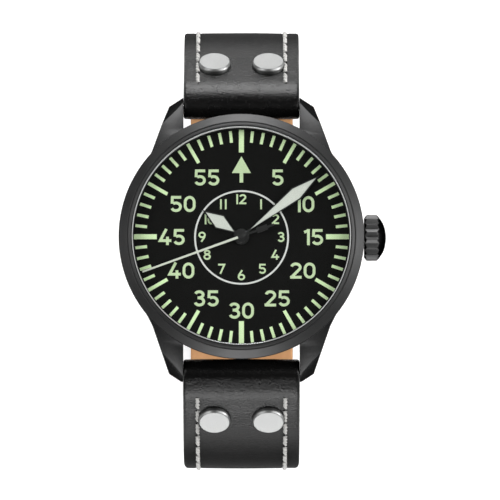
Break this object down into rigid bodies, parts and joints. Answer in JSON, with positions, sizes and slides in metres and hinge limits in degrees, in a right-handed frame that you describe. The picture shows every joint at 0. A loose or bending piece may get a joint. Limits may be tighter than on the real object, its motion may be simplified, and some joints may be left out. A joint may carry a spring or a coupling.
{
  "type": "wrist watch",
  "caption": "Round pilot watch with a luminous dial, fluted crown, glass back over a self-winding movement, and a riveted leather strap closed by its buckle.",
  "frame": {"origin": "middle of the case back's flat outer face, on the axis of the hands", "axes": "+Z out of the dial, +Y to 12 o'clock, +X to 3 o'clock and the crown; the closed strap loop hangs below"},
  "size_m": [0.0458, 0.0758, 0.0589],
  "materials": {
    "case_metal": "fine bead-blasted dark grey coating",
    "crown_metal": "satin dark grey coating",
    "crystal_glass": "clear, polished",
    "back_glass": "clear, polished",
    "gasket_rubber": "matt black",
    "dial_black": "matt black with a fine grain",
    "hand_black": "satin black",
    "hand_white": "satin white",
    "lume": "matt, luminous filling",
    "plate_metal": "plated, circular grained",
    "wheel_brass": "gilt, brushed",
    "bright_steel": "polished",
    "spring_steel": "satin",
    "rotor_metal": "brushed in circles",
    "jewel": "polished red",
    "leather_black": "fine grain, soft sheen",
    "leather_tan": "smooth, matt",
    "rivet_metal": "satin face, bright bevel",
    "buckle_metal": "fine bead-blasted dark grey coating"
  },
  "bodies": {
    "case": {"case_middle": "case_metal", "bezel": "case_metal", "crystal": "crystal_glass", "crystal_gasket": "gasket_rubber", "case_back": "case_metal", "back_glass": "back_glass", "dial": "dial_black", "movement_ring": "plate_metal", "main_plate": "plate_metal", "minute_post": "bright_steel", "barrel_bridge": "plate_metal", "train_bridge": "plate_metal", "balance_cock": "plate_metal", "jewels": "jewel", "hairspring": "spring_steel", "rotor_bearing": "bright_steel", "crown_tube": "bright_steel", "strap_12_leather": "leather_black", "strap_12_lining": "leather_tan", "strap_6_leather": "leather_black", "strap_6_lining": "leather_tan", "keeper_fixed": "leather_black", "rivets": "rivet_metal", "buckle_frame": "buckle_metal", "buckle_tongue": "buckle_metal", "buckle_bar": "bright_steel", "spring_bar_12": "bright_steel", "spring_bar_6": "bright_steel"},
    "seconds": {"seconds_hand": "hand_white", "seconds_wheel": "wheel_brass"},
    "center": {"center_wheel": "wheel_brass"},
    "third": {"third_wheel": "wheel_brass"},
    "escape": {"escape_wheel": "wheel_brass"},
    "barrel": {"barrel": "wheel_brass"},
    "fork": {"pallet_fork": "bright_steel"},
    "balance": {"balance_wheel": "wheel_brass"},
    "minute": {"minute_hand": "hand_black", "minute_hand_lume": "lume", "cannon_pinion": "bright_steel"},
    "minute_wheel": {"minute_wheel": "wheel_brass"},
    "hour": {"hour_hand": "hand_black", "hour_hand_lume": "lume", "hour_wheel": "wheel_brass"},
    "rotor": {"rotor": "rotor_metal"},
    "keyless": {"winding_pinion": "bright_steel", "sliding_pinion": "bright_steel"},
    "crown": {"crown": "crown_metal", "stem": "bright_steel"},
    "crown_wheel": {"crown_wheel": "bright_steel"},
    "ratchet": {"ratchet_wheel": "bright_steel", "barrel_arbor": "bright_steel"},
    "free_keeper": {"keeper_free": "leather_black"}
  },
  "joints": [
    {"name": "seconds_turn", "type": "hinge", "parent": "case", "child": "seconds", "pos_m": [0, 0, 0.0085], "axis": [0, 0, -1], "continuous": true},
    {"name": "center_turn", "type": "hinge", "parent": "case", "child": "center", "pos_m": [0, 0, 0.007], "axis": [0, 0, -1], "continuous": true},
    {"name": "third_turn", "type": "hinge", "parent": "case", "child": "third", "pos_m": [0.00105, -0.00391, 0.0055], "axis": [0, 0, -1], "continuous": true},
    {"name": "escape_turn", "type": "hinge", "parent": "case", "child": "escape", "pos_m": [-0.00324, -0.00227, 0.006], "axis": [0, 0, -1], "continuous": true},
    {"name": "barrel_turn", "type": "hinge", "parent": "case", "child": "barrel", "pos_m": [0.00265, 0.00568, 0.006], "axis": [0, 0, -1], "continuous": true},
    {"name": "minute_turn", "type": "hinge", "parent": "case", "child": "minute", "pos_m": [0, 0, 0.009], "axis": [0, 0, -1], "continuous": true},
    {"name": "minute_wheel_turn", "type": "hinge", "parent": "case", "child": "minute_wheel", "pos_m": [0.00283, -0.00283, 0.0076], "axis": [0, 0, -1], "continuous": true},
    {"name": "hour_turn", "type": "hinge", "parent": "case", "child": "hour", "pos_m": [0, 0, 0.0088], "axis": [0, 0, -1], "continuous": true},
    {"name": "balance_swing", "type": "hinge", "parent": "case", "child": "balance", "pos_m": [-0.00754, -0.00357, 0.0053], "axis": [0, 0, -1], "range_deg": [-135, 135]},
    {"name": "fork_rock", "type": "hinge", "parent": "case", "child": "fork", "pos_m": [-0.00585, -0.00306, 0.006], "axis": [0, 0, -1], "range_deg": [-4, 4]},
    {"name": "rotor_turn", "type": "hinge", "parent": "case", "child": "rotor", "pos_m": [0, 0, 0.0034], "axis": [0, 0, -1], "continuous": true},
    {"name": "crown_turn", "type": "hinge", "parent": "case", "child": "keyless", "pos_m": [0.009, 0, 0.006], "axis": [1, 0, 0], "continuous": true},
    {"name": "crown_pull", "type": "slide", "parent": "keyless", "child": "crown", "axis": [1, 0, 0], "range_m": [0, 0.0009]},
    {"name": "crown_wheel_turn", "type": "hinge", "parent": "case", "child": "crown_wheel", "pos_m": [0.00746, 0.0021, 0.0043], "axis": [0, 0, -1], "continuous": true},
    {"name": "ratchet_turn", "type": "hinge", "parent": "case", "child": "ratchet", "pos_m": [0.00265, 0.00568, 0.0043], "axis": [0, 0, -1], "continuous": true},
    {"name": "keeper_travel", "type": "hinge", "parent": "case", "child": "free_keeper", "pos_m": [0, 0.01791, -0.02332], "axis": [1, 0, 0], "range_deg": [-18, 4]}
  ],
  "couplings": [
    {"joint": "center_turn", "follows": "seconds_turn", "ratio": 0.016667},
    {"joint": "third_turn", "follows": "seconds_turn", "ratio": -0.13333},
    {"joint": "escape_turn", "follows": "seconds_turn", "ratio": -10},
    {"joint": "barrel_turn", "follows": "seconds_turn", "ratio": -0.003125},
    {"joint": "minute_wheel_turn", "follows": "minute_turn", "ratio": -0.33333},
    {"joint": "hour_turn", "follows": "minute_turn", "ratio": 0.083333},
    {"joint": "fork_rock", "follows": "balance_swing", "ratio": 0.02963},
    {"joint": "crown_wheel_turn", "follows": "crown_turn", "ratio": 0.5},
    {"joint": "ratchet_turn", "follows": "crown_turn", "ratio": -0.33333}
  ]
}
